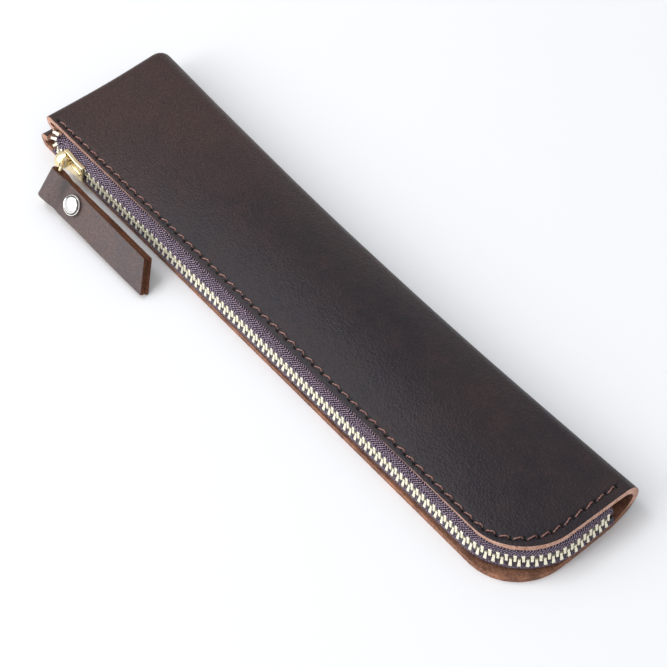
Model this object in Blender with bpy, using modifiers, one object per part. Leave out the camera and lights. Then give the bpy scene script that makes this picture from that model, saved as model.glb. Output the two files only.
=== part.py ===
"""Leather pencil case with a metal zip along its front, round one corner and up its short end.

Frame, in metres: the origin is the middle of the underside, +X runs along the case from the turned
end seam to the rounded end, +Y from the zip to the fold at the back, and +Z up.

Every piece is worked out from the case's front corner instead: x = 0 is the seamed end, y = 0 the
bottom panel's front cut edge and z = 0 the table. One empty then moves them all to the frame above.
Across the zip, d is the distance inwards from the chain's line, and a run is a distance along the zip
from its seamed end.
"""
import bpy
import bmesh
from math import sin, cos, atan2, pi, radians, sqrt
from mathutils import Matrix, Vector

# Leather sheet
case_length = 0.2024
leather = 0.0020
fold_y_left = 0.0452
fold_y_middle = 0.0416
fold_y_right = 0.0440
corner_radius = 0.0160
end_slant = 0.0014
top_slant_share = 0.30
end_draw = 0.0009
play = 0.0003

# Heights of the case, to the outside of the leather
end_height = 0.0110
fold_height_middle = 0.0116
fold_height_right = 0.0102
fold_run_low = 0.0090
fold_run_high = 0.0036
fold_apex_share = 0.60
front_height_middle = 0.0106
front_height_right = 0.0106
crown_rise = 0.0042
end_rise = 0.0006

# Top panel's cut edge, set back from the bottom panel's
set_back_left = 0.0025
set_back_middle = 0.0032
set_back_right = 0.0033
end_set_back = 0.0012
top_corner_radius = 0.0170

# Turned end seam
allowance = 0.0050
allowance_front_clear = 0.0065
allowance_stub_share = 0.10

# Zip chain
tooth_pitch = 0.0021
chain_width = 0.0038
mesh_depth = 0.0004
tooth_length = 0.0007
tooth_depth = 0.0016
cord_size = 0.0006
cord_inset = 0.0003
chain_height_share = 0.527
chain_drop = 0.0005
chain_inset = 0.0001
chain_slant = radians(0.55)
chain_end_inset = 0.0004
chain_radius = 0.0200
chain_lean = radians(9)
chain_start = 0.0070
chain_end_y = 0.0336
tape_thickness = 0.0005
tape_width = 0.0085
tape_past_chain = 0.0009
tape_clear = 0.0005
tape_top_clear = 0.0006
tape_knee = 0.00035
tape_knee_rise = 0.0001
tape_under_top = 0.0008
tape_over_bottom = 0.0012

# Slider and its bail
slider_x = 0.0183
slider_length = 0.0088
slider_wall = 0.0007
slider_flange = 0.00040
slider_play = 0.00025
row_parting = 0.0007
mouth_length = 0.0016
throat_length = 0.0036
post_width = 0.00050
post_length = 0.0014
back_plate_width = 0.0034
bail_x = 0.0152
bail_rise = 0.0006
bail_length = 0.0046
bail_height = 0.0032
bail_width = 0.0016
bail_wall = 0.0006

# Wire link between the bail and the pull tab
link_wire = 0.0010
link_near_bar = 0.0026
link_bend = 0.0009

# Pull tab: one strip of leather folded round the link's long bar
tab_width = 0.0093
tab_leather = 0.0015
tab_eye = 0.0016
tab_eye_run = 0.0056
tab_reach = 0.0456
tab_slant = 0.0042
tab_bar_x = 0.0198
tab_bar_y = -0.0095
tab_bar_z = 0.0062
tab_lean = radians(49.5)
tab_dip = radians(1.95)
tab_turn = radians(1.0)

# Rivet
rivet_reach = 0.0110
rivet_rise = 0.0005
rivet_head = 0.0060
rivet_dome = 0.0008
rivet_rim = 0.0004
rivet_tube = 0.0026
rivet_bore = 0.0018
rivet_pin = 0.0012

# Seams
thread = 0.0005
stitch_pitch = 0.0037
stitch_share = 0.74
hole_share = 0.55
front_margin = 0.0013
end_margin = 0.0028
low_margin = 0.0033
groove_width = 0.0011
stitch_start_x = 0.0052
stitch_end_y = 0.0405
end_stitch_reach = 0.0028
end_stitch_start_y = 0.0110
end_stitch_stop_y = 0.0385

overrun = 0.0010

# Steps of the meshes
smooth_angle = radians(40)
slope_rounds = 4
bottom_rows = 5
fold_rows = 7
top_rows = 8
allowance_columns = 1
curl_columns = 6
body_columns = 15
corner_columns = 7
tape_straight_shares = (0, 0.02, 0.16, 0.28, 0.42, 0.58, 0.72, 0.86, 1)
tape_corner_steps = 7
tape_end_share = 0.5
tape_flat_shares = (0, 0.3, 0.65, 1)
bend_steps = 3
tab_reach_shares = (1, 0.62, 0.36)
ease_steps = 3
eye_steps = 4
hole_sides = 16
dome_steps = 4
turn_steps = 20

# Places that follow from the sizes above
middle_x = case_length / 2
middle_y = fold_y_middle / 2
curl_radius = (end_height / 2 - play / 2 - leather) / 2
curl_x = curl_radius + leather / 2
corner_x = case_length - corner_radius
top_length = case_length - end_set_back
top_corner_x = top_length - top_corner_radius
chain_height = end_height * chain_height_share
chain_turn = pi / 2 - chain_slant
chain_corner_x = case_length - chain_end_inset - chain_radius
chain_straight = (chain_corner_x + chain_radius * sin(chain_slant) - chain_start) / cos(chain_slant)
chain_corner_y = chain_inset + chain_straight * sin(chain_slant) + chain_radius * cos(chain_slant)
chain_corner = chain_radius * chain_turn
chain_end = chain_straight + chain_corner + chain_end_y - chain_corner_y
throat_run = slider_x - chain_start - slider_length / 2 + mouth_length
tape_edge = chain_width / 2 + tape_clear
plate_face = tooth_depth / 2 + slider_play + slider_wall
far_bar = tab_width + 2 * play + link_wire
link_elbow = tab_eye / 2 + tab_leather + play + link_wire / 2
tab_mid = (play + tab_leather) / 2
tab_eye_mid = (tab_eye + tab_leather) / 2

leather_brown = (0.045, 0.026, 0.019)
tab_brown = (0.060, 0.034, 0.024)
tape_aubergine = (0.060, 0.040, 0.065)
tooth_brass = (0.80, 0.70, 0.40)
slider_gold = (0.83, 0.62, 0.26)
rivet_nickel = (0.80, 0.79, 0.76)
thread_pink = (0.50, 0.25, 0.19)


def clear_scene():
    for old in list(bpy.data.objects):
        bpy.data.objects.remove(old, do_unlink=True)


def new_collection(name):
    box = bpy.data.collections.new(name)
    bpy.context.scene.collection.children.link(box)
    return box


def finish(name, colour, roughness, metallic):
    """One Principled material."""
    made = bpy.data.materials.new(name)
    made.use_nodes = True
    shader = made.node_tree.nodes["Principled BSDF"]
    shader.inputs["Base Color"].default_value = (*colour, 1)
    shader.inputs["Roughness"].default_value = roughness
    shader.inputs["Metallic"].default_value = metallic
    return made


def add_mesh(name, mesh, material, box):
    part = bpy.data.objects.new(name, mesh)
    box.objects.link(part)
    mesh.materials.clear()
    mesh.materials.append(material)
    mesh.shade_smooth()
    mesh.set_sharp_from_angle(angle=smooth_angle)
    return part


def add_bmesh(name, bm, material, box):
    mesh = bpy.data.meshes.new(name)
    bm.to_mesh(mesh)
    bm.free()
    return add_mesh(name, mesh, material, box)


def as_cutter(cutter):
    cutter.hide_render = True
    cutter.display_type = "WIRE"
    return cutter


def boolean(part, other, operation):
    step = part.modifiers.new(operation.title(), "BOOLEAN")
    step.operation = operation
    step.solver = "EXACT"
    step.object = other


def solidify(part, thickness):
    wall = part.modifiers.new("Wall", "SOLIDIFY")
    wall.thickness = thickness
    wall.offset = 0
    wall.use_even_offset = True
    wall.use_quality_normals = True


def sheet(columns, rows, place):
    """An open sheet of columns by rows of quads, each corner put where place(column, row) says."""
    bm = bmesh.new()
    bmesh.ops.create_grid(bm, x_segments=columns, y_segments=rows, size=1)
    for vert in bm.verts:
        column = round((vert.co.x + 1) / 2 * columns)
        row = round((vert.co.y + 1) / 2 * rows)
        vert.co = place(column, row)
    bmesh.ops.recalc_face_normals(bm, faces=bm.faces)
    return bm


def flat_mesh(name, outlines, thickness):
    """A plate of the given closed outlines in its own XY plane, centred on z = 0."""
    curve = bpy.data.curves.new(name, "CURVE")
    curve.dimensions = "2D"
    curve.fill_mode = "BOTH"
    curve.extrude = thickness / 2
    for outline in outlines:
        spline = curve.splines.new("POLY")
        spline.points.add(len(outline) - 1)
        for point, (x, y) in zip(spline.points, outline):
            point.co = (x, y, 0, 1)
        spline.use_cyclic_u = True
    return mesh_of_curve(name, curve)


def mesh_of_curve(name, curve):
    """The curve's surface as a welded, closed mesh."""
    holder = bpy.data.objects.new(name, curve)
    bpy.context.scene.collection.objects.link(holder)
    depsgraph = bpy.context.evaluated_depsgraph_get()
    mesh = bpy.data.meshes.new_from_object(holder.evaluated_get(depsgraph))
    bpy.data.objects.remove(holder, do_unlink=True)
    bm = bmesh.new()
    bm.from_mesh(mesh)
    bmesh.ops.remove_doubles(bm, verts=bm.verts, dist=play / 100)
    bmesh.ops.recalc_face_normals(bm, faces=bm.faces)
    bm.to_mesh(mesh)
    bm.free()
    return mesh


def rounded(corners, radius):
    """A closed outline through the corners, each rounded off with a short quadratic curve."""
    points = []
    count = len(corners)
    for i, corner in enumerate(corners):
        here = Vector(corner)
        before = Vector(corners[i - 1])
        after = Vector(corners[(i + 1) % count])
        start = here + (before - here).normalized() * radius
        stop = here + (after - here).normalized() * radius
        for k in range(bend_steps + 1):
            t = k / bend_steps
            points.append(start * (1 - t) ** 2 + here * (2 * t * (1 - t)) + stop * t ** 2)
    return points


def turned(name, profile, material, box):
    """A solid of revolution about Z; the profile runs down its outer side from the top of the axis."""
    bm = bmesh.new()
    verts = [bm.verts.new((r, 0, z)) for r, z in profile]
    for a, b in zip(verts, verts[1:]):
        bm.edges.new((a, b))
    mesh = bpy.data.meshes.new(name)
    bm.to_mesh(mesh)
    bm.free()
    part = add_mesh(name, mesh, material, box)
    screw = part.modifiers.new("Turn", "SCREW")
    screw.axis = "Z"
    screw.steps = turn_steps
    screw.render_steps = turn_steps
    screw.use_merge_vertices = True
    screw.merge_threshold = play / 10
    screw.use_smooth_shade = True
    return part


# The leather sheet's middle surface
def share_of(x):
    return min(max(x / case_length, 0), 1)


def along(x, left, middle, right):
    """A size that goes from left to right along the case, with its own value half way."""
    share = share_of(x)
    return left + (right - left) * share + (middle - (left + right) / 2) * sin(pi * share)


def fold_shape(x):
    """Half axes and middle of the fold's cross-section, on the middle of the leather."""
    round_run = (end_height - leather) / 2
    low = round_run + (fold_run_low - round_run) * share_of(x)
    high = round_run + (fold_run_high - round_run) * share_of(x)
    back = along(x, fold_y_left, fold_y_middle, fold_y_right) - leather / 2
    top = along(x, end_height, fold_height_middle, fold_height_right) - leather / 2
    apex_share = 0.5 + (fold_apex_share - 0.5) * share_of(x)
    apex = leather / 2 + (top - leather / 2) * apex_share
    return low, high, back, top, apex


def end_slip(y):
    """How far the rounded end's cut edge falls short of the full length, behind its corner."""
    return end_slant * min(max((y - corner_radius) / (fold_y_right - corner_radius), 0), 1) ** 2


def slant(x, y, share):
    """Shift along the case at a place on the sheet: the slanted end, and the drawn-in seamed end."""
    seam = end_draw * sin(pi * min(max(y / fold_y_left, 0), 1)) * (1 - share_of(x)) ** 2
    return seam - share * end_slip(y) * share_of(x) ** 6


def rise(x):
    return crown_rise * sin(pi * share_of(x)) + end_rise * share_of(x)


def front_y(x, length, radius):
    """A panel's front edge: straight, then round the corner."""
    past = min(max(x - (length - radius), 0), radius)
    return radius - sqrt(radius ** 2 - past ** 2)


def set_back(x):
    return along(x, set_back_left, set_back_middle, set_back_right)


def top_front_y(x):
    return set_back(x) + front_y(x, top_length, top_corner_radius)


def top_front_z(x):
    return along(x, end_height, front_height_middle, front_height_right) - leather / 2


def fold_end(x):
    """Where the fold's curve runs into the crowned top: its angle and its place."""
    low, high, back, top, apex = fold_shape(x)
    front = set_back(x)
    slope = 0
    for again in range(slope_rounds):
        angle = atan2(top - apex, high * slope) if slope > 0 else pi / 2
        y = back - high + high * cos(angle)
        z = apex + (top - apex) * sin(angle)
        slope = max(4 * rise(x) + top_front_z(x) - z, 0) / (y - front)
    return angle, y, z


def fold_point(x, angle):
    low, high, back, top, apex = fold_shape(x)
    if angle < 0:
        return back - low + low * cos(angle), apex + (apex - leather / 2) * sin(angle)
    return back - high + high * cos(angle), apex + (top - apex) * sin(angle)


def top_z(x, y):
    """Height of the middle of the top panel."""
    angle, fold_y, fold_z = fold_end(x)
    q = (fold_y - y) / (fold_y - set_back(x))
    return fold_z + (top_front_z(x) - fold_z) * q + 4 * rise(x) * q * (1 - q)


def top_slope(x, y):
    return (top_z(x, y + play) - top_z(x, y - play)) / (2 * play)


sheet_rows = bottom_rows + fold_rows + top_rows
sheet_columns = allowance_columns + curl_columns + body_columns + corner_columns


def section_point(low_x, high_x, low_front, row):
    """The point of one row across the sheet: bottom panel, fold, then top panel."""
    if row <= bottom_rows:
        start_y, start_z = fold_point(low_x, -pi / 2)
        y = low_front + (start_y - low_front) * row / bottom_rows
        return Vector((low_x + slant(low_x, y, 1), y, start_z))
    if row <= bottom_rows + fold_rows:
        share = (row - bottom_rows) / fold_rows
        x = low_x + (high_x - low_x) * share
        angle = -pi / 2 + (fold_end(x)[0] + pi / 2) * share
        y, z = fold_point(x, angle)
        return Vector((x + slant(x, y, 1 + (top_slant_share - 1) * share), y, z))
    share = (row - bottom_rows - fold_rows) / top_rows
    fold_y = fold_end(high_x)[1]
    front = top_front_y(high_x)
    y = fold_y + (front - fold_y) * share
    return Vector((high_x + slant(high_x, y, top_slant_share), y, top_z(high_x, y)))


def end_row(row):
    """A row where the end seam's curl starts, and the direction in which the leather turns in."""
    here = section_point(curl_x, curl_x, 0, row)
    before = section_point(curl_x, curl_x, 0, max(row - 1, 0))
    after = section_point(curl_x, curl_x, 0, min(row + 1, sheet_rows))
    run = (after - before).normalized()
    return here, Vector((0, -run.z, run.y))


def allowance_length(here, row):
    """The turned-in leather, clipped short at the zip and at the fold."""
    on_fold = bottom_rows < row < bottom_rows + fold_rows
    if here.y < allowance_front_clear or on_fold:
        return allowance * allowance_stub_share
    return allowance


def leather_place(column, row):
    if column < allowance_columns + curl_columns:
        here, inward = end_row(row)
        if column < allowance_columns:
            reach = allowance_length(here, row) * (allowance_columns - column) / allowance_columns
            return here + inward * (2 * curl_radius) + Vector((reach, 0, 0))
        turn = pi * (allowance_columns + curl_columns - column) / curl_columns
        return here + inward * (curl_radius * (1 - cos(turn))) - Vector((curl_radius * sin(turn), 0, 0))
    column -= allowance_columns + curl_columns
    if column <= body_columns:
        share = column / body_columns
        low_x = curl_x + (corner_x - curl_x) * share
        high_x = curl_x + (top_corner_x - curl_x) * share
        return section_point(low_x, high_x, 0, row)
    turn = pi / 2 * (column - body_columns) / corner_columns
    low_x = corner_x + corner_radius * sin(turn)
    high_x = top_corner_x + top_corner_radius * sin(turn)
    return section_point(low_x, high_x, corner_radius * (1 - cos(turn)), row)


def make_leather(box, material):
    """One sheet: bottom panel, fold and top panel, with both ends curled in at the turned seam."""
    bm = sheet(sheet_columns, sheet_rows, leather_place)
    body = add_bmesh("leather_body", bm, material, box)
    solidify(body, leather)
    return body


# The zip's path round the case
def zip_line(run, inset):
    """A line at an inset inwards of the chain's, at a run along it: its place, and outwards there."""
    radius = chain_radius - inset
    turn = chain_slant + min(max((run - chain_straight) / radius, 0), chain_turn)
    out = Vector((sin(turn), -cos(turn), 0))
    if run <= chain_straight:
        start = Vector((chain_start, chain_inset, 0))
        return start + Vector((cos(chain_slant), sin(chain_slant), 0)) * run - out * inset, out
    place = Vector((chain_corner_x, chain_corner_y, 0)) + out * radius
    place.y += max(run - chain_straight - radius * chain_turn, 0)
    place.x -= end_slip(place.y)
    return place, out


def row_parting_at(run):
    """How far each row of teeth stands off the closed line, in the slider's mouth and beyond it."""
    return row_parting * min(max((throat_run + throat_length - run) / throat_length, 0), 1)


def across(run, d, z):
    place, out = zip_line(run, 0)
    return place - out * d + Vector((0, 0, z))


def chain_frame(run):
    """Middle of the chain, and its axes: along it, up in its own leaning plane, and outwards."""
    place, out = zip_line(run, 0)
    up = Vector((0, 0, 1))
    chain_up = up * cos(chain_lean) - out * sin(chain_lean)
    chain_out = out * cos(chain_lean) + up * sin(chain_lean)
    drop = chain_drop * min(max((run - chain_straight) / chain_corner, 0), 1)
    return place + up * (chain_height - drop), chain_up.cross(chain_out), chain_up, chain_out


def on_chain(run, outward, upward):
    middle, _, chain_up, chain_out = chain_frame(run)
    return middle + chain_out * outward + chain_up * upward


def tape_runs():
    """Where the tapes have a section: more at the slider's mouth and round the corner."""
    straight = [chain_straight * share for share in tape_straight_shares]
    straight += [throat_run, throat_run + throat_length]
    corner = [chain_straight + chain_corner * (k + 1) / tape_corner_steps for k in range(tape_corner_steps)]
    last = chain_end - (chain_end - corner[-1]) * tape_end_share
    return sorted(straight) + corner + [last, chain_end + tape_past_chain]


def top_edge_depth(run):
    """Distance of the top panel's cut edge from the chain's line, across the zip."""
    low, high = -corner_radius, tape_width
    while high - low > play / 100:
        d = (low + high) / 2
        place = across(run, d, 0)
        end_x = top_length - top_slant_share * end_slip(place.y)
        if place.x < end_x and place.y > top_front_y(place.x):
            high = d
        else:
            low = d
    return high


def under_top(run, d):
    """Middle of the upper tape where it lies under the top panel."""
    place = across(run, d, 0)
    lean = sqrt(1 + top_slope(place.x, place.y) ** 2)
    place.z = top_z(place.x, place.y) - (leather / 2 + tape_top_clear + tape_thickness / 2) * lean
    return place


def tape_section(run, side):
    """Points across one tape, from the teeth to its sewn edge; side is 1 above and -1 below."""
    edge = tape_edge + row_parting_at(run)
    bend = [on_chain(run, 0, side * edge), on_chain(run, -tape_knee, side * (edge + tape_knee_rise))]
    if side > 0:
        start = top_edge_depth(run) + tape_under_top
    else:
        start = tape_over_bottom
    depths = [start + (tape_width - start) * share for share in tape_flat_shares]
    if side > 0:
        return bend + [under_top(run, d) for d in depths]
    return bend + [across(run, d, leather + play + tape_thickness / 2) for d in depths]


def make_tape(name, side, box, material):
    sections = [tape_section(run, side) for run in tape_runs()]
    bm = sheet(len(sections) - 1, len(sections[0]) - 1, lambda column, row: sections[column][row])
    tape = add_bmesh(name, bm, material, box)
    solidify(tape, tape_thickness)
    return tape


def tube(rings):
    """A closed skin through rings of corners that all have the same count."""
    corners = len(rings[0])
    bm = sheet(len(rings) - 1, corners, lambda column, row: rings[column][row % corners])
    bmesh.ops.remove_doubles(bm, verts=bm.verts, dist=play / 100)
    bmesh.ops.holes_fill(bm, edges=[edge for edge in bm.edges if edge.is_boundary], sides=corners)
    bmesh.ops.recalc_face_normals(bm, faces=bm.faces)
    return bm


def box_ring(run, side, half_depth, low, high):
    """Corners of a cross-section of one row of teeth: side is 1 above and -1 below."""
    part = row_parting_at(run)
    corners = ((-half_depth, low), (half_depth, low), (half_depth, high), (-half_depth, high))
    return [on_chain(run, outward, side * (upward + part)) for outward, upward in corners]


def make_teeth(name, side, box, material):
    """One row of teeth clamped on its cord; the lower row stands half a pitch on from the upper."""
    cord = (cord_size / 2, chain_width / 2 - cord_inset - cord_size, chain_width / 2 - cord_inset)
    tooth = (tooth_depth / 2, -mesh_depth / 2, chain_width / 2)
    rings = []
    run = tooth_pitch / 2 if side > 0 else tooth_pitch
    while run < chain_end:
        for step, shape in ((-1, cord), (-1, tooth), (1, tooth), (1, cord)):
            rings.append(box_ring(run + step * tooth_length / 2, side, *shape))
        run += tooth_pitch
    return add_bmesh(name, tube(rings[1:-1]), material, box)


# The slider and what hangs from it
def slider_matrix(x):
    middle, chain_along, chain_up, chain_out = chain_frame(x - chain_start)
    turn = Matrix((chain_along, chain_up, chain_out)).transposed().to_4x4()
    return Matrix.Translation(middle) @ turn


def slider_outline(inset):
    """Half widths of the slider along its length, from the mouth to the narrow end."""
    narrow = chain_width / 2 + slider_play + slider_flange - inset
    wide = narrow + row_parting
    left = -slider_length / 2
    throat = left + mouth_length
    join = throat + throat_length
    return [(left, wide), (throat, wide), (join, narrow), (slider_length / 2, narrow)]


def plate(name, outline, low, high, box, material):
    """A plate in the chain's plane, from low to high outwards."""
    mesh = flat_mesh(name, [outline], high - low)
    mesh.transform(Matrix.Translation((0, 0, (low + high) / 2)))
    return add_mesh(name, mesh, material, box)


def make_slider(parts, cutters, material):
    """Front plate with its flanges, a plain back plate, and the post that parts the rows."""
    inner = tooth_depth / 2 + slider_play
    outer = inner + slider_wall
    slot = tape_thickness / 2 + slider_play
    sink = slider_wall / 4
    edge = slider_outline(0)
    lip = slider_outline(slider_flange)
    front = edge + [(x, -y) for x, y in reversed(edge)]
    body = plate("slider_body", front, inner, outer, parts, material)
    for side in (1, -1):
        strip = [(x, side * y) for x, y in edge] + [(x, side * y) for x, y in reversed(lip)]
        flange = plate("flange", strip, slot, inner + sink, cutters, material)
        boolean(body, as_cutter(flange), "UNION")
    left = -slider_length / 2
    back_half = back_plate_width / 2
    back = [(left, -back_half), (-left, -back_half), (-left, back_half), (left, back_half)]
    rear = plate("back_plate", back, -outer, -inner, cutters, material)
    boolean(body, as_cutter(rear), "UNION")
    half = post_width / 2
    post = [(left + sink, -half), (left + post_length, 0), (left + sink, half)]
    wedge = plate("post", post, -inner - sink, inner + sink, cutters, material)
    boolean(body, as_cutter(wedge), "UNION")
    place = slider_matrix(slider_x)
    for piece in [body] + [m.object for m in body.modifiers]:
        piece.matrix_world = place
    return body


def make_bail(slider, box, material):
    """A low bridge over the slider's front plate, which the link's near bar passes under."""
    half = bail_length / 2
    foot = plate_face + slider_play
    top = foot + bail_height
    inner = half - 2 * bail_wall
    shoulder = bail_wall * 2
    outline = [(-half, foot), (-half, top - shoulder), (-half + shoulder, top), (half - shoulder, top),
               (half, top - shoulder), (half, foot), (inner, foot), (inner, top - bail_wall - shoulder),
               (inner - shoulder / 2, top - bail_wall), (-inner + shoulder / 2, top - bail_wall),
               (-inner, top - bail_wall - shoulder), (-inner, foot)]
    mesh = flat_mesh("slider_bail", [outline], bail_width)
    mesh.transform(Matrix.Rotation(pi / 2, 4, "X"))
    bail = add_mesh("slider_bail", mesh, material, box)
    bail.parent = slider
    bail.location = (bail_x - slider_x, bail_rise, 0)
    return bail


def tab_axes():
    """The tab's own axes: along its length, across its width, and out of its face."""
    length = Vector((cos(tab_dip) * cos(tab_turn), cos(tab_dip) * sin(tab_turn), -sin(tab_dip)))
    lean = Vector((0, cos(tab_lean), sin(tab_lean)))
    width = (lean - length * lean.dot(length)).normalized()
    return length, width, length.cross(width)


def tab_matrix():
    length, width, face = tab_axes()
    turn = Matrix((length, width, face)).transposed().to_4x4()
    return Matrix.Translation((tab_bar_x, tab_bar_y, tab_bar_z)) @ turn


def near_bar_place():
    """Middle of the link's near bar, under the bail and clear of the slider's plate at its slant."""
    run = bail_x - chain_start
    width = tab_axes()[1]
    chain_out = chain_frame(run)[3]
    slant = abs(width.dot(chain_out)) * link_near_bar / 2
    return on_chain(run, plate_face + slider_play + slant + link_wire / 2, bail_rise)


def make_link(box, material):
    """A flat wire ring: a short bar in the bail, a long one in the tab, and an elbow under the tab."""
    near = near_bar_place()
    far = Vector((tab_bar_x, tab_bar_y, tab_bar_z))
    width = tab_axes()[1]
    reach = near - far
    arm = (reach - width * reach.dot(width)).normalized()
    corners = [near + width * link_near_bar / 2, far + width * far_bar / 2, far - width * far_bar / 2,
               far - width * far_bar / 2 + arm * link_elbow, near - width * link_near_bar / 2]
    points = rounded(corners, link_bend)
    curve = bpy.data.curves.new("pull_link", "CURVE")
    curve.dimensions = "3D"
    curve.bevel_depth = link_wire / 2
    curve.bevel_resolution = 1
    spline = curve.splines.new("POLY")
    spline.points.add(len(points) - 1)
    for point, place in zip(spline.points, points):
        point.co = (*(place - near), 1)
    spline.use_cyclic_u = True
    link = add_mesh("pull_link", mesh_of_curve("pull_link", curve), material, box)
    link.location = near
    return link


def tab_path():
    """Half of the folded strip's middle line, from the tail to the middle of the fold."""
    points = [(tab_reach * share, tab_mid) for share in tab_reach_shares]
    for k in range(ease_steps):
        t = k / ease_steps
        smooth = t * t * (3 - 2 * t)
        points.append((tab_eye_run * (1 - t), tab_mid + (tab_eye_mid - tab_mid) * smooth))
    for k in range(eye_steps + 1):
        turn = pi / 2 * k / eye_steps
        points.append((-tab_eye_mid * sin(turn), tab_eye_mid * cos(turn)))
    return points


def make_tab(parts, cutters, material):
    """The strip, folded round the link's long bar, with its tail cut at a slant."""
    half = tab_path()
    path = half + [(x, -y) for x, y in reversed(half[:-1])]
    tails = (0, len(path) - 1)

    def place(column, row):
        reach, offset = path[column]
        if column in tails:
            reach -= tab_slant * row
        return Vector((reach, tab_width * (row - 0.5), offset))

    tab = add_bmesh("pull_tab", sheet(len(path) - 1, 1, place), material, parts)
    solidify(tab, tab_leather)
    bm = bmesh.new()
    hole = rivet_tube / 2 + play
    bmesh.ops.create_cone(bm, cap_ends=True, segments=hole_sides, radius1=hole, radius2=hole,
                          depth=2 * (tab_mid + tab_leather) + overrun,
                          matrix=Matrix.Translation((rivet_reach, rivet_rise, 0)))
    drill = as_cutter(add_bmesh("rivet_hole", bm, material, cutters))
    boolean(tab, drill, "DIFFERENCE")
    for piece in (tab, drill):
        piece.matrix_world = tab_matrix()
    return tab


def dome_profile(seat):
    """The head's outer side, from the middle of the dome down to its seat on the leather."""
    half = rivet_head / 2
    turns = [pi / 2 * k / dome_steps for k in range(dome_steps + 1)]
    return [(half * sin(turn), seat + rivet_rim + rivet_dome * cos(turn)) for turn in turns] + [(half, seat)]


def make_rivet(tab, box, material):
    """Two domed heads: the front one ends in a tube, and the back one in a pin inside the tube."""
    seat = tab_mid + tab_leather / 2 + play
    tube = rivet_tube / 2
    bore = rivet_bore / 2
    pin = rivet_pin / 2
    front = dome_profile(seat) + [(tube, seat), (tube, -seat), (bore, -seat), (bore, 0), (0, 0)]
    back = dome_profile(seat + play) + [(pin, seat + play), (pin, play), (0, play)]
    cap = turned("rivet_cap", front, material, box)
    base = turned("rivet_base", back, material, box)
    for head in (cap, base):
        head.parent = tab
        head.location = (rivet_reach, rivet_rise, 0)
    base.rotation_euler = (pi, 0, 0)
    return cap, base


# Sewing
def top_seam_at(run):
    """The upper seam's line, at a run along it."""
    straight = top_corner_x - stitch_start_x
    start_radius = top_corner_radius - front_margin
    corner = start_radius * pi / 2
    if run <= straight:
        x = stitch_start_x + run
        return x, top_front_y(x) + front_margin
    if run <= straight + corner:
        turn = (run - straight) / start_radius
        margin = front_margin + (end_margin - front_margin) * turn / (pi / 2)
        radius = top_corner_radius - margin
        centre_y = top_front_y(top_corner_x) + top_corner_radius
        return top_corner_x + radius * sin(turn), centre_y - radius * cos(turn)
    y = top_front_y(top_corner_x) + top_corner_radius + run - straight - corner
    return top_length - end_margin - top_slant_share * end_slip(y), y


def low_seam_at(run):
    """The lower seam's line, at a run along it."""
    place = zip_line(run + stitch_start_x - chain_start, low_margin)[0]
    return place.x, place.y


def thread_tube(name, points, material, box):
    """Thread on a line of (place, thickness share) points, as one tube."""
    curve = bpy.data.curves.new(name, "CURVE")
    curve.dimensions = "3D"
    curve.bevel_depth = thread / 2
    curve.bevel_resolution = 0
    curve.use_fill_caps = True
    spline = curve.splines.new("POLY")
    spline.points.add(len(points) - 1)
    for point, (place, share) in zip(spline.points, points):
        point.co = (*place, 1)
        point.radius = share
    return add_mesh(name, mesh_of_curve(name, curve), material, box)


def needle_thread(name, seam_at, height_at, last_y, box, material):
    """A seam's outer thread, full along each stitch and drawn thin at each hole."""
    points = []
    run = 0
    length = stitch_pitch * stitch_share
    while seam_at(run + stitch_pitch)[1] < last_y:
        for step, share in ((0, hole_share), ((stitch_pitch - length) / 2, 1), ((stitch_pitch + length) / 2, 1)):
            x, y = seam_at(run + step)
            points.append((Vector((x, y, height_at(x, y))), share))
        run += stitch_pitch
    return thread_tube(name, points[1:], material, box)


def plain_thread(name, seam_at, height_at, last_y, box, material):
    """Thread that runs straight from hole to hole."""
    points = []
    run = stitch_pitch / 2
    while seam_at(run)[1] < last_y:
        x, y = seam_at(run)
        points.append((Vector((x, y, height_at(x, y))), 1))
        run += stitch_pitch
    return thread_tube(name, points, material, box)


def above_top(x, y):
    return top_z(x, y) + (leather / 2 + play + thread / 2) * sqrt(1 + top_slope(x, y) ** 2)


def below_top_tape(x, y):
    stack = leather / 2 + tape_top_clear + tape_thickness + play + thread / 2
    return top_z(x, y) - stack * sqrt(1 + top_slope(x, y) ** 2)


def above_low_tape(x, y):
    return leather + 2 * play + tape_thickness + thread / 2


def in_groove(x, y):
    return play + thread / 2


def cut_groove(body, box, material):
    """A shallow groove in the underside, so that the lower seam's outer thread lies below the face."""
    depth = 2 * play + thread
    rings = []
    run = -stitch_pitch
    while low_seam_at(run)[1] < stitch_end_y + stitch_pitch:
        x, y = low_seam_at(run)
        ahead = Vector(low_seam_at(run + play)) - Vector((x, y))
        left = Vector((-ahead.y, ahead.x)).normalized() * groove_width / 2
        rings.append([Vector((x + s * left.x, y + s * left.y, z))
                      for s, z in ((1, -overrun), (-1, -overrun), (-1, depth), (1, depth))])
        run += stitch_pitch
    cutter = as_cutter(add_bmesh("seam_groove", tube(rings), material, box))
    boolean(body, cutter, "DIFFERENCE")


def end_seam_line(start):
    def at(run):
        return curl_x + end_stitch_reach, start + run
    return at


def above_allowance(x, y):
    return top_z(curl_x, y) - curl_radius


def below_allowance(x, y):
    return leather / 2 + curl_radius


def hold_on_empty(parts, cutters):
    """Moves every piece that has no parent from the front corner to the middle of the underside."""
    frame = bpy.data.objects.new("frame", None)
    frame.location = (-middle_x, -middle_y, 0)
    for piece in list(parts.objects) + list(cutters.objects):
        if piece.parent is None:
            piece.parent = frame
    parts.objects.link(frame)


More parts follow.
